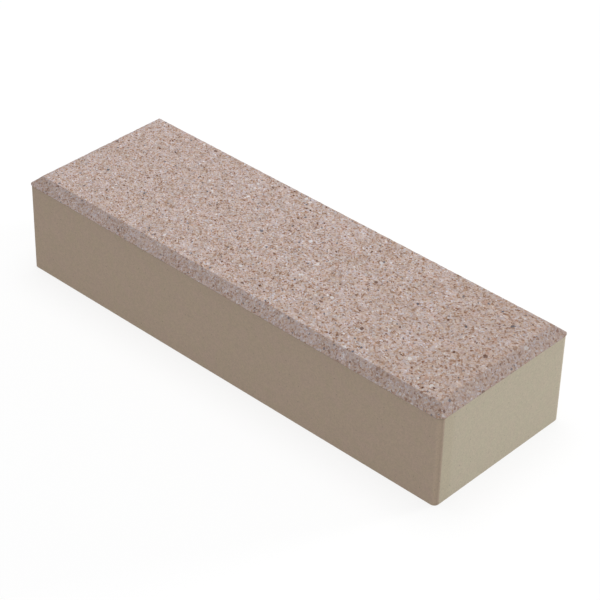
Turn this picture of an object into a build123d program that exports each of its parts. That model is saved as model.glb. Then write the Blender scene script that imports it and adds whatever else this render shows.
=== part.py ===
"""Rectangular concrete paver: one pressed block with a bevelled rim round its wearing face.

The block lies on its bed face. The origin is at the middle of that face, +X runs along the length and +Z
points up to the wearing face. The face mix and the base mix are pressed wet in one mould and set as one
stone, so the paver is a single solid.
"""

import os

from build123d import *

# Driving dimensions, in millimetres
length = 300.0  # along X
width = 100.0  # along Y
height = 60.0  # from the bed face to the wearing face
corner_radius = 3.0  # upright corners, rounded by the mould
bevel_width = 5.0  # how far the bevel runs in over the wearing face
bevel_depth = 6.0  # how far the bevel runs down the sides

with BuildPart() as paver:
    # The mould's box
    with BuildSketch() as footprint:
        Rectangle(length, width)
    extrude(amount=height)

    # The stamp's sloping rim bevels all four sides of the wearing face, mitred at the corners
    wearing_face = paver.faces().sort_by(Axis.Z)[-1]
    chamfer(wearing_face.edges(), length=bevel_width, length2=bevel_depth, reference=wearing_face)

    # The mould's upright corners are rounded, and the rounding runs up into the foot of each mitre
    upright_edges = paver.edges().filter_by(Axis.Z)
    fillet(upright_edges, radius=corner_radius)

paver.part.label = "paver"

os.makedirs("parts", exist_ok=True)
export_step(paver.part, "parts/paver.step")
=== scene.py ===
"""Looks of the rectangular concrete paver: a gritty, bevelled wearing face on a smooth cement block."""

import math

import bpy
import numpy as np
from mathutils import Matrix, Quaternion, Vector
from mathutils.geometry import delaunay_2d_cdt


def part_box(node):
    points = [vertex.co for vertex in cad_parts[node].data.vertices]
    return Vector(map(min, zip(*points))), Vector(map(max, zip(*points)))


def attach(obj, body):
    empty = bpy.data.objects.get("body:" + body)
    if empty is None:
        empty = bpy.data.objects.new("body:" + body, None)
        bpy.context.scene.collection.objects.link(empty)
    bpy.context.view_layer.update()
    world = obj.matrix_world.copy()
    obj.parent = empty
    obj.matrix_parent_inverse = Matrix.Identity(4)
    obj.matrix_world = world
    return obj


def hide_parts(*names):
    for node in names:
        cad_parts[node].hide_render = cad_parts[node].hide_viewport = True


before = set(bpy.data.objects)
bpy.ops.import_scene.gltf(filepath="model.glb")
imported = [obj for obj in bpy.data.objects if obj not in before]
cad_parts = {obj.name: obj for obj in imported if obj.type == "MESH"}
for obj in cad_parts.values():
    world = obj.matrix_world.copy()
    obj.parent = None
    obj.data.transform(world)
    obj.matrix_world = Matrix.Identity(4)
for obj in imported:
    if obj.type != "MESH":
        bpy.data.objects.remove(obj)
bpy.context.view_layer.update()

MM = 0.001

# How finely the block is divided
grit_spacing = 0.62 * MM  # between grid lines on the wearing face
corner_steps = 5  # straight steps round one upright corner
bevel_steps = 3  # grid lines on the bevel, inside the rounded corners
wall_rows = 8  # rows of faces down the sides
bed_spacing = 6.0 * MM  # between the points inside the bed face
touching = 0.01 * MM  # two places nearer than this count as one

# The pressed face
lip = 0.5 * MM  # its rim stands this far out over the sides
lip_rise = 0.7 * MM  # and this far above the foot of the plain bevel
lip_depth = 0.8 * MM  # its underside runs back to the sides over this height
arris_wear = 0.25 * MM  # the bevel's upper edge is worn this far in

# The grit of the face mix
grain_size = 1.9 * MM  # of the crushed grains, which stand out of the surface
speck_size = 1.15 * MM  # of the smaller grains that show as specks
sand_size = 0.68 * MM  # of the sand between and over them
grain_relief = 0.30 * MM  # how far the proudest grains stand above the lowest
recess_depth = 0.35 * MM  # how deep the gaps between grains go
recess_size = 2.4 * MM  # from one gap to the next
grit_level = -0.10 * MM  # of the lowest grains, from the mould's own surface
relief_fade = 10.0 * MM  # from the rim inwards, over which the grit comes to stand out
finer_end = 0.86  # share of those sizes at the left end
coarser_end = 1.26  # and at the right end
mix_seed = 3.0  # which batch of grit
spread_way = Vector((0.67, -0.74, 0.0))  # the way that the mix was spread, which the grains lie along
grain_length = 1.2  # of the grains that way, as a share of their width

# The camera, fitted to the block's edges in the photograph
camera_aim = Vector((9.62, 0.89, 30.0)) * MM
camera_distance = 1160.3 * MM
camera_azimuth = math.radians(42.39)  # 0 looks along +Y
camera_elevation = math.radians(35.27)
camera_roll = math.radians(1.50)
camera_sensor = 36.0
camera_lens = 129.59

# Light
sky_strength = 0.42
floor_half = 3.0
floor_colour = (0.14, 0.14, 0.14, 1.0)


def paint(red, green, blue):
    """A colour as it looks on a screen, 0 to 255, as Blender's linear colour."""
    return tuple(((c / 255 + 0.055) / 1.055) ** 2.4 for c in (red, green, blue)) + (1.0,)


# Node helpers, for materials and for geometry alike


def node(tree, kind, inputs=None, **settings):
    """Adds one node. An input given as a socket is linked, any other value is set."""
    made = tree.nodes.new(kind)
    for name, value in settings.items():
        setattr(made, name, value)
    for name, value in (inputs or {}).items():
        if isinstance(value, bpy.types.NodeSocket):
            tree.links.new(value, made.inputs[name])
        else:
            made.inputs[name].default_value = value
    return made


def maths(tree, operation, *values):
    return node(tree, "ShaderNodeMath", dict(enumerate(values)), operation=operation).outputs[0]


def vector_maths(tree, operation, *values):
    return node(tree, "ShaderNodeVectorMath", dict(enumerate(values)), operation=operation).outputs[0]


def scaled(tree, vector, factor):
    made = node(tree, "ShaderNodeVectorMath", {"Vector": vector, "Scale": factor}, operation="SCALE")
    return made.outputs[0]


def ease(tree, value, start, end):
    """0 where value is at start, 1 where it is at end, smooth between; start may be above end."""
    limits = {"Value": value, "From Min": start, "From Max": end, "To Min": 0.0, "To Max": 1.0}
    return node(tree, "ShaderNodeMapRange", limits, interpolation_type="SMOOTHSTEP").outputs["Result"]


def colour_mix(tree, share, first, second, blend="MIX"):
    made = node(tree, "ShaderNodeMix", {0: share, 6: first, 7: second}, data_type="RGBA", blend_type=blend)
    return made.outputs[2]


def noise(tree, place, size, detail=2.0, rough=0.5):
    settings = {"Vector": place, "Scale": 1.0 / size, "Detail": detail, "Roughness": rough}
    return node(tree, "ShaderNodeTexNoise", settings)


# The grit, as one rule that the relief and the colours both follow


def from_edges(tree, sizes, place):
    """How far in from the nearer end and from the nearer long side a place is, seen from above."""
    axes = node(tree, "ShaderNodeSeparateXYZ", {0: place}).outputs
    from_end = maths(tree, "SUBTRACT", sizes["half_length"], maths(tree, "ABSOLUTE", axes[0]))
    from_side = maths(tree, "SUBTRACT", sizes["half_width"], maths(tree, "ABSOLUTE", axes[1]))
    return from_end, from_side


def batch_place(tree, block, place):
    """The place in a batch of mix, coarser towards one end; another seed gives another scatter."""
    along = node(tree, "ShaderNodeSeparateXYZ", {0: place}).outputs[0]
    middle = 0.5 / finer_end + 0.5 / coarser_end
    change = (0.5 / coarser_end - 0.5 / finer_end) / block["half_length"]
    closeness = maths(tree, "MULTIPLY_ADD", along, change, middle)
    so_far = maths(tree, "MULTIPLY_ADD", along, 0.5 * change, middle)
    along_way = vector_maths(tree, "PROJECT", place, spread_way)
    laid = vector_maths(tree, "SUBTRACT", place, scaled(tree, along_way, 1.0 - 1.0 / grain_length))
    shares = node(tree, "ShaderNodeCombineXYZ", {0: so_far, 1: closeness, 2: closeness}).outputs[0]
    packed = vector_maths(tree, "MULTIPLY", laid, shares)
    return vector_maths(tree, "ADD", packed, (0.37 * mix_seed, 0.61 * mix_seed, 0.13 * mix_seed))


def grains(tree, batch, size, ragged=0.5):
    """Grains of one size: how far inside its grain a place is, and that grain's three random numbers."""
    shake = noise(tree, batch, 0.6 * size, detail=1.0).outputs["Color"]
    shake = vector_maths(tree, "SUBTRACT", shake, (0.5, 0.5, 0.5))
    shaken = vector_maths(tree, "ADD", batch, scaled(tree, shake, ragged * size))
    cells = node(tree, "ShaderNodeTexVoronoi", {"Vector": shaken, "Scale": 1.0 / size, "Randomness": 1.0})
    dome = ease(tree, cells.outputs["Distance"], 0.8, 0.2)
    return dome, node(tree, "ShaderNodeSeparateXYZ", {0: cells.outputs["Color"]}).outputs


def grit_rule(tree, block, place):
    """The crushed grains and the gaps between them at a place in the mould."""
    batch = batch_place(tree, block, place)
    dome, random = grains(tree, batch, grain_size)
    gaps = noise(tree, batch, recess_size, detail=2.0, rough=0.5).outputs[0]
    return {
        "batch": batch,
        "dome": dome,
        "recess": ease(tree, gaps, 0.44, 0.32),
        "level": random[1],
        "kind": random[2],
    }


# The block


def block_sizes():
    """Half sizes, height, bevel and corner radius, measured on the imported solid."""
    low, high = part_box("paver")
    places = np.array([v.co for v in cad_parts["paver"].data.vertices])
    flat_top = places[places[:, 2] > high.z - touching]
    flat_end = places[places[:, 0] > high.x - touching]
    return {
        "half_length": high.x,
        "half_width": high.y,
        "height": high.z,
        "bevel_in": high.x - flat_top[:, 0].max(),
        "foot": flat_end[:, 2].max(),
        "corner": high.y - flat_end[:, 1].max(),
    }


def face_sizes(block):
    """The same sizes for the pressed face, whose rim stands a little out over the sides."""
    return {
        "half_length": block["half_length"] + lip,
        "half_width": block["half_width"] + lip,
        "height": block["height"],
        "bevel_in": block["bevel_in"] + lip + arris_wear,
        "foot": block["foot"] + lip_rise,
        "corner": block["corner"] + lip,
    }


def grid_lines(half, face):
    """Lines across the face, rim to rim: over the rounded corner, then the bevel, then the flat."""
    turn = np.linspace(0.0, math.pi / 2, corner_steps + 1)
    over_corner = face["corner"] * (1.0 - np.cos(turn))
    over_bevel = np.linspace(face["corner"], face["bevel_in"], bevel_steps + 1)[1:]
    margin = np.concatenate([over_corner, over_bevel])
    flat_half = half - face["bevel_in"]
    steps = round(2 * flat_half / grit_spacing)
    flat = np.linspace(-flat_half, flat_half, steps + 1)[1:-1]
    return np.concatenate([margin - half, flat, half - margin[::-1]])


def wearing_sheet(face):
    """Points and faces of the wearing face and bevel, and which points are on its rim and arris."""
    xs = grid_lines(face["half_length"], face)
    ys = grid_lines(face["half_width"], face)
    nx, ny = len(xs), len(ys)
    margin = corner_steps + bevel_steps
    grid_x, grid_y = np.meshgrid(xs, ys, indexing="ij")
    inward = np.minimum(face["half_length"] - np.abs(grid_x), face["half_width"] - np.abs(grid_y))
    slope = (face["height"] - face["foot"]) / face["bevel_in"]
    grid_z = np.minimum(face["height"], face["foot"] + slope * inward)

    # Points outside the rounded corners are left out
    from_x = np.minimum(np.arange(nx), np.arange(nx)[::-1])
    from_y = np.minimum(np.arange(ny), np.arange(ny)[::-1])
    kept = from_x[:, None] + from_y[None, :] >= corner_steps
    number = np.where(kept, np.cumsum(kept).reshape(nx, ny) - 1, -1)
    points = np.stack([grid_x[kept], grid_y[kept], grid_z[kept]], 1)

    faces = []
    for i in range(nx - 1):
        for j in range(ny - 1):
            quad = [number[i, j], number[i + 1, j], number[i + 1, j + 1], number[i, j + 1]]
            in_x, in_y = min(i, nx - 2 - i), min(j, ny - 2 - j)
            if in_x == in_y and corner_steps <= in_x + in_y and in_x < margin:
                # On a mitre the quad is split along it
                rising = (i < nx / 2) == (j < ny / 2)
                a, b, c, d = quad if rising else quad[1:] + quad[:1]
                faces += [[a, b, c], [a, c, d]]
            else:
                corners = [p for p in quad if p >= 0]
                if len(corners) >= 3:
                    faces.append(corners)

    last_x, last_y, turn = nx - 1, ny - 1, corner_steps
    rim = [(i, 0) for i in range(turn, last_x - turn)]
    rim += [(last_x - turn + k, k) for k in range(turn)]
    rim += [(last_x, j) for j in range(turn, last_y - turn)]
    rim += [(last_x - k, last_y - turn + k) for k in range(turn)]
    rim += [(i, last_y) for i in range(last_x - turn, turn, -1)]
    rim += [(turn - k, last_y - k) for k in range(turn)]
    rim += [(0, j) for j in range(last_y - turn, turn, -1)]
    rim += [(k, turn - k) for k in range(turn)]
    arris = number[np.abs(inward - face["bevel_in"]) < touching]
    return points, faces, [int(number[i, j]) for i, j in rim], arris


def bed_fill(ring):
    """Points inside the bed face and its faces, seen from below; the ring keeps its numbers."""
    half_x, half_y = np.abs(ring).max(0) - 0.6 * bed_spacing
    steps_x, steps_y = (round(2 * h / bed_spacing) for h in (half_x, half_y))
    xs = np.linspace(-half_x, half_x, steps_x)
    ys = np.linspace(-half_y, half_y, steps_y)
    inner = [(x, y) for x in xs for y in ys]
    count = len(ring)
    edges = [(k, (k + 1) % count) for k in range(count)]
    flat = [Vector(p) for p in ring.tolist() + inner]
    _, _, triangles, origin, _, _ = delaunay_2d_cdt(flat, edges, [], 1, touching)
    faces = [[origin[p][0] for p in reversed(t)] for t in triangles]
    return inner, faces


def block_mesh(block):
    """The whole block as one closed mesh, with its finish noted on it."""
    face = face_sizes(block)
    sheet, sheet_faces, rim, arris = wearing_sheet(face)
    points, faces = [sheet], list(sheet_faces)
    outline = sheet[rim][:, :2]
    core = np.array([block["half_length"], block["half_width"]]) - block["corner"]
    outward = outline - np.clip(outline, -core, core)
    outline -= lip * outward / np.linalg.norm(outward, axis=1)[:, None]
    count = len(rim)
    above, start = np.array(rim), len(sheet)
    for level in np.linspace(face["foot"] - lip_depth, 0.0, wall_rows):
        ring = np.column_stack([outline, np.full(count, level)])
        below = start + np.arange(count)
        faces += np.stack([above, below, np.roll(below, -1), np.roll(above, -1)], 1).tolist()
        points.append(ring)
        above, start = below, start + count
    under_lip = len(sheet) + np.arange(count)
    inner, bed_faces = bed_fill(ring[:, :2])
    numbers = np.concatenate([above, start + np.arange(len(inner))])
    faces += [[int(numbers[p]) for p in face] for face in bed_faces]
    points.append(np.array([(x, y, 0.0) for x, y in inner]))

    mesh = bpy.data.meshes.new("paver_block")
    mesh.from_pydata(np.concatenate(points).tolist(), [], faces)
    mesh.validate()
    in_grit = np.arange(len(mesh.polygons)) < len(sheet_faces)
    mesh.attributes.new("grit_face", "BOOLEAN", "FACE").data.foreach_set("value", in_grit)
    mesh.shade_smooth()
    ends = np.empty(2 * len(mesh.edges), int)
    mesh.edges.foreach_get("vertices", ends)
    sharp = np.zeros(len(mesh.edges), bool)
    for crease in (arris, rim, under_lip, above):
        on_crease = np.zeros(len(mesh.vertices), bool)
        on_crease[crease] = True
        sharp |= on_crease[ends.reshape(-1, 2)].all(1)
    mesh.attributes.new("sharp_edge", "BOOLEAN", "EDGE").data.foreach_set("value", sharp)
    return mesh


def relief_tree(block):
    """Geometry Nodes that raise the grains and sink the gaps between them, and dress both finishes."""
    tree = bpy.data.node_groups.new("raise_grit", "GeometryNodeTree")
    sockets = {}
    for name, kind in (
        ("Block", "NodeSocketGeometry"),
        ("Grain Relief", "NodeSocketFloat"),
        ("Recess Depth", "NodeSocketFloat"),
        ("Grit Level", "NodeSocketFloat"),
        ("Grit", "NodeSocketMaterial"),
        ("Skin", "NodeSocketMaterial"),
    ):
        sockets[name] = tree.interface.new_socket(name, in_out="INPUT", socket_type=kind).identifier
    tree.interface.new_socket("Paver", in_out="OUTPUT", socket_type="NodeSocketGeometry")
    given = node(tree, "NodeGroupInput").outputs
    place = node(tree, "GeometryNodeInputPosition").outputs[0]
    grit = grit_rule(tree, block, place)

    # Flush with the mould at the rim and on the sides
    face = face_sizes(block)
    from_rim = maths(tree, "MINIMUM", *from_edges(tree, face, place))
    faded = ease(tree, from_rim, 0.0, relief_fade)
    up = node(tree, "ShaderNodeSeparateXYZ", {0: place}).outputs[2]
    share = maths(tree, "MULTIPLY", faded, maths(tree, "GREATER_THAN", up, face["foot"] + touching))

    domed = maths(tree, "MULTIPLY", grit["dome"], 0.45)
    stand = maths(tree, "MULTIPLY_ADD", grit["level"], 0.55, domed)
    raised = maths(tree, "MULTIPLY_ADD", stand, given["Grain Relief"], given["Grit Level"])
    sunk = maths(tree, "MULTIPLY", grit["recess"], given["Recess Depth"])
    height = maths(tree, "MULTIPLY", share, maths(tree, "SUBTRACT", raised, sunk))
    normal = node(tree, "GeometryNodeInputNormal").outputs[0]

    noted = node(
        tree,
        "GeometryNodeStoreNamedAttribute",
        {"Geometry": given["Block"], "Name": "mould_place", "Value": place},
        data_type="FLOAT_VECTOR",
        domain="POINT",
    )
    moved = node(
        tree,
        "GeometryNodeSetPosition",
        {"Geometry": noted.outputs[0], "Offset": scaled(tree, normal, height)},
    )
    whole = node(tree, "GeometryNodeRealizeInstances", {"Geometry": moved.outputs[0]})
    in_grit = node(tree, "GeometryNodeInputNamedAttribute", {"Name": "grit_face"}, data_type="BOOLEAN")
    skinned = node(
        tree,
        "GeometryNodeSetMaterial",
        {"Geometry": whole.outputs[0], "Material": given["Skin"]},
    )
    dressed = node(
        tree,
        "GeometryNodeSetMaterial",
        {"Geometry": skinned.outputs[0], "Selection": in_grit.outputs[0], "Material": given["Grit"]},
    )
    node(tree, "NodeGroupOutput", {0: dressed.outputs[0]})
    return tree, sockets


# Finishes


def new_finish(name):
    """A material with its shader; returns the material, its tree and the shader's inputs."""
    finish = bpy.data.materials.new(name)
    finish.use_nodes = True
    tree = finish.node_tree
    tree.nodes.clear()
    shader = node(tree, "ShaderNodeBsdfPrincipled")
    node(tree, "ShaderNodeOutputMaterial", {"Surface": shader.outputs[0]})
    return finish, tree, shader


def palette(tree, value, stops, interpolation="LINEAR"):
    """A colour ramp over value, with stops of (position, colour)."""
    made = node(tree, "ShaderNodeValToRGB", {"Fac": value})
    ramp = made.color_ramp
    ramp.interpolation = interpolation
    while len(ramp.elements) < len(stops):
        ramp.elements.new(0.5)
    for element, (position, colour) in zip(ramp.elements, stops):
        element.position, element.color = position, colour
    return made.outputs[0]


def strew(tree, colour, dome, number, kinds):
    """Paints a few of the grains; each kind is its share of all grains, its colour and its cover."""
    on_grain = ease(tree, dome, 0.15, 0.5)
    least = 0.0
    for share, shade, cover in kinds:
        middle = {0: number, 1: least + 0.5 * share, 2: 0.5 * share}
        this_kind = node(tree, "ShaderNodeMath", middle, operation="COMPARE").outputs[0]
        covered = maths(tree, "MULTIPLY", maths(tree, "MULTIPLY", this_kind, on_grain), cover)
        colour = colour_mix(tree, covered, colour, shade)
        least += share
    return colour


def blasted_grit(block):
    """Crushed pink granite and sand laid bare in a tan cement, with a few dark and white grains."""
    finish, tree, shader = new_finish("blasted_grit")
    place = node(tree, "ShaderNodeAttribute", attribute_name="mould_place").outputs["Vector"]
    grit = grit_rule(tree, block, place)

    # The bevel, with a little of the flat at the ends, and the flat near the coarser end
    face = face_sizes(block)
    from_end, from_side = from_edges(tree, face, place)
    on_end = ease(tree, from_end, face["bevel_in"] + 2.0 * MM, face["bevel_in"])
    on_side = ease(tree, from_side, face["bevel_in"] + 0.3 * MM, face["bevel_in"])
    on_bevel = maths(tree, "MAXIMUM", on_end, on_side)
    along = node(tree, "ShaderNodeSeparateXYZ", {0: place}).outputs[0]
    coarser = maths(tree, "DIVIDE", along, block["half_length"])
    near_end = maths(tree, "POWER", maths(tree, "MAXIMUM", coarser, 0.0), 3.0)
    coarse_flat = maths(tree, "MULTIPLY", near_end, maths(tree, "SUBTRACT", 1.0, on_bevel))

    # The sand: pinkish beige, with brown grains among it and a few slate grey or white
    sand_dome, sand = grains(tree, grit["batch"], sand_size)
    colour = palette(
        tree,
        sand[0],
        [
            (0.0, paint(128, 86, 62)),
            (0.04, paint(160, 122, 98)),
            (0.1, paint(175, 145, 128)),
            (0.25, paint(187, 162, 156)),
            (0.55, paint(195, 176, 172)),
            (0.9, paint(200, 185, 186)),
            (1.0, paint(212, 207, 214)),
        ],
    )
    warmth = palette(tree, sand[1], [(0.0, (1.0, 0.965, 0.83, 1.0)), (1.0, (0.88, 0.955, 1.04, 1.0))])
    colour = colour_mix(tree, 1.0, colour, warmth, "MULTIPLY")
    colour = colour_mix(tree, maths(tree, "LESS_THAN", sand[2], 0.006), colour, paint(100, 100, 112))
    colour = colour_mix(tree, maths(tree, "GREATER_THAN", sand[2], 0.985), colour, paint(214, 210, 216))

    # Near the coarser end whole grains show through the sand
    whole = palette(
        tree,
        grit["level"],
        [(0.0, paint(150, 114, 96)), (0.3, paint(187, 162, 153)), (1.0, paint(206, 192, 192))],
    )
    colour = colour_mix(tree, maths(tree, "MULTIPLY", coarse_flat, 0.3), colour, whole)

    # Brown cement in the gaps, made darker as painted shade between the grains, more of it towards that
    # end
    gaps = noise(tree, grit["batch"], 1.35 * MM, detail=1.0).outputs[0]
    gaps = ease(tree, maths(tree, "MULTIPLY_ADD", coarse_flat, -0.02, gaps), 0.42, 0.33)
    gap_cement_and_shade = maths(tree, "MULTIPLY", gaps, maths(tree, "MULTIPLY_ADD", coarser, 0.06, 0.6))
    colour = colour_mix(tree, gap_cement_and_shade, colour, paint(134, 97, 65))

    # The few grains that stand out in a colour of their own, small ones and then whole ones
    speck_dome, speck = grains(tree, grit["batch"], speck_size)
    speck_dome = maths(tree, "MULTIPLY", speck_dome, maths(tree, "MULTIPLY_ADD", coarse_flat, -0.65, 1.0))
    colour = strew(tree, colour, speck_dome, speck[0], [
        (0.008, paint(92, 56, 36), 0.95),
        (0.0045, paint(84, 86, 100), 0.9),
        (0.014, paint(126, 82, 56), 0.85),
        (0.005, paint(222, 220, 224), 0.8),
    ])
    colour = strew(tree, colour, grit["dome"], grit["kind"], [
        (0.003, paint(100, 68, 54), 0.85),
        (0.003, paint(92, 94, 106), 0.85),
        (0.003, paint(218, 216, 220), 0.8),
        (0.016, paint(176, 138, 120), 0.5),
    ])

    # The mix is never quite even, and the colour grows darker and browner towards the right end
    drift = noise(tree, grit["batch"], 6 * MM, detail=2.0).outputs[0]
    drift = maths(tree, "MULTIPLY_ADD", coarser, -0.03, drift)
    drift = maths(tree, "MULTIPLY_ADD", near_end, -0.27, drift)
    uneven = palette(tree, drift, [(0.35, (0.855, 0.835, 0.795, 1.0)), (0.65, (1.0, 0.992, 0.99, 1.0))])
    colour = colour_mix(tree, 1.0, colour, uneven, "MULTIPLY")

    # On the bevel the mould leaves more of the paste over the grains
    colour = colour_mix(tree, maths(tree, "MULTIPLY", on_bevel, 0.36), colour, paint(140, 125, 121))

    tree.links.new(colour, shader.inputs["Base Color"])
    shader.inputs["Roughness"].default_value = 0.9
    shader.inputs["Specular IOR Level"].default_value = 0.3
    stand = maths(tree, "MULTIPLY_ADD", sand[2], 0.6, sand_dome)
    bump = node(tree, "ShaderNodeBump", {"Strength": 0.5, "Distance": 0.1 * MM, "Height": stand})
    tree.links.new(bump.outputs[0], shader.inputs["Normal"])
    return finish


def cement_skin(block):
    """Smooth beige cement with a fine grain, faint clouds and pinhead pores, whose shade is painted as
    dark spots.
    """
    finish, tree, shader = new_finish("cement_skin")
    place = node(tree, "ShaderNodeTexCoord").outputs["Object"]
    axes = node(tree, "ShaderNodeSeparateXYZ", {0: place}).outputs
    from_end = maths(tree, "SUBTRACT", block["half_length"], maths(tree, "ABSOLUTE", axes[0]))
    from_front = maths(tree, "ADD", axes[1], block["half_width"])
    clouds = noise(tree, place, 6 * MM, detail=1.0).outputs[0]

    # The long sides, a little darker towards the right: painted shade that evens out the front lamp's
    # stronger light at that end
    long_side = palette(tree, clouds, [(0.3, paint(213, 192.5, 169)), (0.7, paint(215, 191.5, 172))])
    to_right = ease(tree, axes[0], -1.2 * block["half_length"], 1.2 * block["half_length"])
    painted_shade_to_right = palette(tree, to_right, [(0.0, (1.0, 1.0, 1.0, 1.0)), (1.0, (0.955, 0.955, 0.955, 1.0))])
    long_side = colour_mix(tree, 1.0, long_side, painted_shade_to_right, "MULTIPLY")

    # The ends, greener, and a little browner by the front corners
    end_side = palette(tree, clouds, [(0.3, paint(220, 210, 185.5)), (0.7, paint(222, 209, 186.5))])
    by_front = ease(tree, from_front, 12.5 * MM, 8.5 * MM)
    end_side = colour_mix(tree, by_front, end_side, paint(217, 205, 180))
    past_front = ease(tree, from_front, block["corner"] - 0.2 * MM, block["corner"] + 0.6 * MM)
    at_end = ease(tree, from_end, block["corner"], 0.6 * block["corner"])
    on_end = maths(tree, "MULTIPLY", past_front, at_end)
    colour = colour_mix(tree, on_end, long_side, end_side)

    # The front corners, painted a little paler: a painted highlight along each rounded corner
    into_corner = maths(tree, "MAXIMUM", from_end, from_front)
    painted_corner_highlight = ease(tree, into_corner, block["corner"], 0.4 * block["corner"])
    colour = colour_mix(tree, maths(tree, "MULTIPLY", painted_corner_highlight, 0.25), colour, paint(228, 204, 174))

    # Fine grain, and pinhead pores with their shade painted dark
    fine = noise(tree, place, 0.8 * MM, detail=2.0, rough=0.7).outputs[0]
    grain = palette(tree, fine, [(0.25, (0.80, 0.80, 0.80, 1.0)), (0.75, (1.0, 1.0, 1.0, 1.0))])
    colour = colour_mix(tree, 1.0, colour, grain, "MULTIPLY")
    spacing = {"Vector": place, "Scale": 1.0 / (4 * MM), "Randomness": 1.0}
    pores = node(tree, "ShaderNodeTexVoronoi", spacing)
    painted_pore_shade = ease(tree, pores.outputs["Distance"], 0.09, 0.05)
    colour = colour_mix(tree, maths(tree, "MULTIPLY", painted_pore_shade, 0.5), colour, paint(120, 106, 90))
    tree.links.new(colour, shader.inputs["Base Color"])
    shader.inputs["Roughness"].default_value = 0.85
    shader.inputs["Specular IOR Level"].default_value = 0.3
    bump = node(tree, "ShaderNodeBump", {"Strength": 0.25, "Distance": 0.05 * MM, "Height": fine})
    tree.links.new(bump.outputs[0], shader.inputs["Normal"])
    return finish


# The scene


def lay_paver():
    block = block_sizes()
    paver = bpy.data.objects.new("paver_block", block_mesh(block))
    bpy.context.scene.collection.objects.link(paver)
    tree, sockets = relief_tree(block)
    pressing = paver.modifiers.new("raise_grit", "NODES")
    pressing.node_group = tree
    for name, value in (
        ("Grain Relief", grain_relief),
        ("Recess Depth", recess_depth),
        ("Grit Level", grit_level),
        ("Grit", blasted_grit(block)),
        ("Skin", cement_skin(block)),
    ):
        pressing[sockets[name]] = value
    depsgraph = bpy.context.evaluated_depsgraph_get()
    finished = bpy.data.meshes.new_from_object(paver.evaluated_get(depsgraph), depsgraph=depsgraph)
    paver.modifiers.clear()
    plain, paver.data = paver.data, finished
    bpy.data.meshes.remove(plain)
    finished.name = "paver_block"
    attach(paver, "root")
    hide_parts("paver")


def lay_floor():
    mesh = bpy.data.meshes.new("floor")
    corners = [(floor_half * x, floor_half * y, 0.0) for x, y in ((-1, -1), (1, -1), (1, 1), (-1, 1))]
    mesh.from_pydata(corners, [], [[0, 1, 2, 3]])
    floor = bpy.data.objects.new("floor", mesh)
    bpy.context.scene.collection.objects.link(floor)
    finish = bpy.data.materials.new("floor")
    finish.use_nodes = True
    tree = finish.node_tree
    tree.nodes.clear()
    matt = node(tree, "ShaderNodeBsdfDiffuse", {"Color": floor_colour})
    pale = node(tree, "ShaderNodeBsdfDiffuse", {"Color": (1.0, 1.0, 1.0, 1.0)})
    white = node(tree, "ShaderNodeEmission", {"Color": (1.0, 1.0, 1.0, 1.0), "Strength": 1.0})
    seen = node(tree, "ShaderNodeMixShader", {0: 0.8, 1: pale.outputs[0], 2: white.outputs[0]})
    to_camera = node(tree, "ShaderNodeLightPath").outputs["Is Camera Ray"]
    mixed = node(tree, "ShaderNodeMixShader", {0: to_camera, 1: matt.outputs[0], 2: seen.outputs[0]})
    node(tree, "ShaderNodeOutputMaterial", {"Surface": mixed.outputs[0]})
    mesh.materials.append(finish)


def light_sky():
    world = bpy.data.worlds.new("studio")
    bpy.context.scene.world = world
    world.use_nodes = True
    tree = world.node_tree
    tree.nodes.clear()
    path = node(tree, "ShaderNodeLightPath").outputs
    seen = maths(tree, "MAXIMUM", path["Is Camera Ray"], path["Is Glossy Ray"])
    seen = maths(tree, "MAXIMUM", seen, path["Is Transmission Ray"])
    strength = maths(tree, "MULTIPLY_ADD", seen, 1.0 - sky_strength, sky_strength)
    sky = node(tree, "ShaderNodeBackground", {"Color": (1.0, 1.0, 1.0, 1.0), "Strength": strength})
    node(tree, "ShaderNodeOutputWorld", {"Surface": sky.outputs[0]})


def hang_lamp(name, place, size, power):
    lamp = bpy.data.lights.new(name, "AREA")
    lamp.shape, lamp.size, lamp.energy = "DISK", size, power
    hung = bpy.data.objects.new(name, lamp)
    hung.location = place
    hung.rotation_mode = "QUATERNION"
    hung.rotation_quaternion = (camera_aim - Vector(place)).to_track_quat("-Z", "Y")
    bpy.context.scene.collection.objects.link(hung)


def place_camera():
    camera = bpy.data.cameras.new("camera")
    camera.sensor_width, camera.lens = camera_sensor, camera_lens
    level = math.cos(camera_elevation)
    away = Vector((
        level * math.sin(camera_azimuth), -level * math.cos(camera_azimuth), math.sin(camera_elevation)
    ))
    held = bpy.data.objects.new("camera", camera)
    turn = (-away).to_track_quat("-Z", "Y") @ Quaternion((0.0, 0.0, 1.0), camera_roll)
    held.matrix_world = Matrix.Translation(camera_aim + camera_distance * away) @ turn.to_matrix().to_4x4()
    bpy.context.scene.collection.objects.link(held)
    bpy.context.scene.camera = held


lay_paver()
lay_floor()
light_sky()
hang_lamp("top_light", (-0.2, 0.17, 1.6), 1.2, 14.6)
hang_lamp("right_light", (1.5, 3.2, 0.6), 1.0, 90.5)
hang_lamp("front_light", (1.6, -3.4, 0.9), 1.8, 35.0)
place_camera()
bpy.context.scene.view_settings.view_transform = "Standard"
